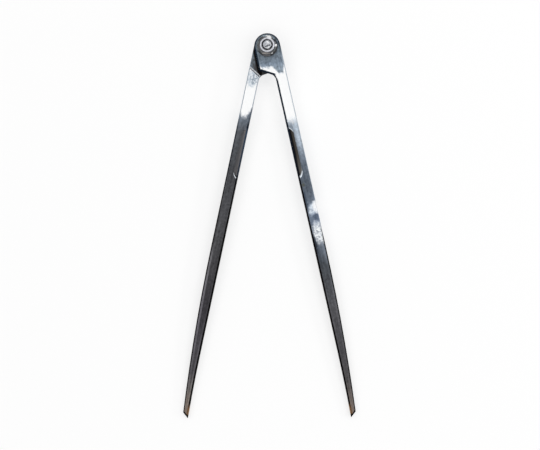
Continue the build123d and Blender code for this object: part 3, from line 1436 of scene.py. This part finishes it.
@dataclass
class Legs:
    """The two legs, dressed as they are."""

    compass: CompassFrame

    def dress(self, nodes: dict[str, bpy.types.Object]) -> None:
        """Gives each leg its steel.

        Args:
            nodes: The CAD nodes by name.
        """
        for name, finish in (("left_leg", LEFT_STEEL), ("right_leg", RIGHT_STEEL)):
            wear(nodes[name], finish.build(self.compass))
            log.info("dressed %s", name)


@dataclass
class PivotHardware:
    """Bolt, washers, lock nut and locking ring at the head."""

    compass: CompassFrame

    def dress(self, nodes: dict[str, bpy.types.Object]) -> None:
        """Gives each fastener its plating.

        Args:
            nodes: The CAD nodes by name.
        """
        for name, finish in HARDWARE.items():
            wear(nodes[name], finish.build(self.compass))
            log.info("dressed %s", name)
        wear(nodes["lock_ring"], NylonRing().build())
        log.info("dressed lock_ring")


def wear(piece: bpy.types.Object, material: bpy.types.Material) -> None:
    """Puts one material on a whole piece."""
    piece.data.materials.clear()
    piece.data.materials.append(material)


@dataclass(frozen=True)
class Panel:
    """Rectangular soft lamp that points at the middle of the object.

    Attributes:
        name: Name of the lamp.
        offset: Place from the middle, in metres.
        size: Width and depth, in metres.
        power: Power in watts.
    """

    name: str
    offset: tuple[float, float, float]
    size: tuple[float, float]
    power: float

    def hang(self, centre: Vector) -> None:
        """Adds the lamp.

        Args:
            centre: Middle of the lit area.
        """
        lamp = bpy.data.lights.new(self.name, "AREA")
        lamp.shape = "RECTANGLE"
        lamp.size, lamp.size_y = self.size
        lamp.energy = self.power
        holder = bpy.data.objects.new(self.name, lamp)
        offset = Vector(self.offset)
        holder.location = centre + offset
        holder.rotation_euler = (-offset).to_track_quat("-Z", "Y").to_euler()
        bpy.context.scene.collection.objects.link(holder)


@dataclass(frozen=True)
class Studio:
    """Pale floor, a ring of soft light all round with a dark opening above, and small panels.

    Attributes:
        centre: Middle of the lit area.
        floor_z: Height of the floor.
        floor_half: Half the floor's width, in metres.
        floor_colour: Colour of the floor.
        floor_lift: How far the camera and the metal see the floor as plain white, with softer shadows.
        ring: Brightness of the surround, by the upward share of the direction.
        backdrop: Brightness of the surround behind the object.
        panels: The lamps.
    """

    centre: Vector
    floor_z: float
    floor_half: float = 4.0
    floor_colour: Colour = (0.96, 0.96, 0.96)
    floor_lift: float = 0.7
    ring: Stops = ((0.0, 0.35), (0.62, 0.35), (0.74, 1.85), (0.90, 1.85), (0.95, 0.2), (1.0, 0.2))
    backdrop: float = 0.97
    panels: tuple[Panel, ...] = (
        Panel("right_panel", (1.3, 0.0, 0.75), (0.9, 0.2), 3.0),
        Panel("head_panel", (0.3, 1.3, 0.9), (0.5, 0.2), 1.2),
    )

    def build(self) -> None:
        """Makes the floor, the lamps and the world."""
        self._floor()
        for panel in self.panels:
            panel.hang(self.centre)
        self._world()

    def _floor(self) -> None:
        """Makes the floor the object lies on."""
        half = self.floor_half
        mesh = bpy.data.meshes.new("floor")
        corners = [(-half, -half, 0.0), (half, -half, 0.0), (half, half, 0.0), (-half, half, 0.0)]
        mesh.from_pydata(corners, [], [(0, 1, 2, 3)])
        floor = bpy.data.objects.new("floor", mesh)
        floor.location = (self.centre.x, self.centre.y, self.floor_z)
        bpy.context.scene.collection.objects.link(floor)
        material = bpy.data.materials.new("floor_paper")
        bench = NodeBench(material)
        paper = bench.node("ShaderNodeBsdfDiffuse")
        bench.feed(paper.inputs["Color"], self.floor_colour)
        white = bench.node("ShaderNodeEmission")
        bench.feed(white.inputs["Color"], (1.0, 1.0, 1.0))
        path = bench.node("ShaderNodeLightPath")
        names = ("Is Camera Ray", "Is Glossy Ray", "Is Transmission Ray")
        camera_ray, glossy_ray, transmission_ray = (Field(bench, path.outputs[name]) for name in names)
        mixed = bench.node("ShaderNodeMixShader")
        bench.feed(mixed.inputs[0], (camera_ray | glossy_ray | transmission_ray) * self.floor_lift)
        bench.feed(mixed.inputs[1], paper.outputs[0])
        bench.feed(mixed.inputs[2], white.outputs[0])
        bench.close(mixed.outputs[0])
        wear(floor, material)

    def _world(self) -> None:
        """Makes the surround."""
        world = bpy.data.worlds.new("surround")
        bpy.context.scene.world = world
        bench = NodeBench(world)
        way = bench.node("ShaderNodeSeparateXYZ")
        bench.feed(way.inputs[0], bench.node("ShaderNodeTexCoord").outputs["Generated"])
        light = bench.profile(Field(bench, way.outputs["Z"]), self.ring)
        seen = Field(bench, bench.node("ShaderNodeLightPath").outputs["Is Camera Ray"])
        back = bench.node("ShaderNodeBackground")
        bench.feed(back.inputs["Color"], (1.0, 1.0, 1.0))
        bench.feed(back.inputs["Strength"], bench.mixed(seen, light, self.backdrop))
        out = bench.node("ShaderNodeOutputWorld")
        bench.feed(out.inputs["Surface"], back.outputs[0])


@dataclass(frozen=True)
class PhotoCamera:
    """Camera square to the leg plane, framed as in the photograph.

    Attributes:
        image_width: Width of the image, in pixels.
        image_height: Height of the image, in pixels.
        pivot_pixel: Where the pivot lies in the image.
        mm_per_pixel: Scale at the legs' front faces.
        distance: Distance from the legs, in metres.
        roll: Turn of the object in the image, in degrees, anticlockwise.
        face_height: Height of the legs' front faces over the lap plane, in metres.
        sensor: Width of the camera's sensor, in millimetres.
    """

    image_width: int = 540
    image_height: int = 450
    pivot_pixel: tuple[float, float] = (267.2, 46.1)
    mm_per_pixel: float = 0.7605
    distance: float = 1.15
    roll: float = 0.35
    face_height: float = 0.004
    sensor: float = 36.0

    def build(self, compass: CompassFrame) -> None:
        """Makes the camera and sets it as the scene's.

        Args:
            compass: The compass's frame.
        """
        turn = math.radians(self.roll)
        right = compass.across * math.cos(turn) - compass.headward * math.sin(turn)
        up = compass.across * math.sin(turn) + compass.headward * math.cos(turn)
        shift_right = (self.image_width / 2 - self.pivot_pixel[0]) * self.mm_per_pixel * MM
        shift_down = (self.image_height / 2 - self.pivot_pixel[1]) * self.mm_per_pixel * MM
        target = compass.pivot + compass.normal * self.face_height + right * shift_right - up * shift_down
        data = bpy.data.cameras.new("photo_camera")
        data.sensor_width = self.sensor
        data.lens = self.sensor * self.distance / (self.image_width * self.mm_per_pixel * MM)
        camera = bpy.data.objects.new("photo_camera", data)
        bpy.context.scene.collection.objects.link(camera)
        turned = Matrix((right, up, compass.normal)).transposed().to_4x4()
        camera.matrix_world = Matrix.Translation(target + compass.normal * self.distance) @ turned
        bpy.context.scene.camera = camera


def main() -> None:
    """Builds the classes in order."""
    logging.basicConfig(level=logging.INFO, format="%(name)s %(message)s")
    compass = CompassFrame.from_joint(frame["joints"][0])
    Legs(compass).dress(frame["nodes"])
    PivotHardware(compass).dress(frame["nodes"])
    low, high = (Vector(corner) for corner in cad_box)
    middle = (low + high) / 2
    Studio(centre=Vector((middle.x, middle.y, low.z)), floor_z=low.z).build()
    PhotoCamera().build(compass)
    bpy.context.scene.view_settings.view_transform = "Standard"
    log.info("wrote the sizes")


if __name__ == "__main__":
    main()
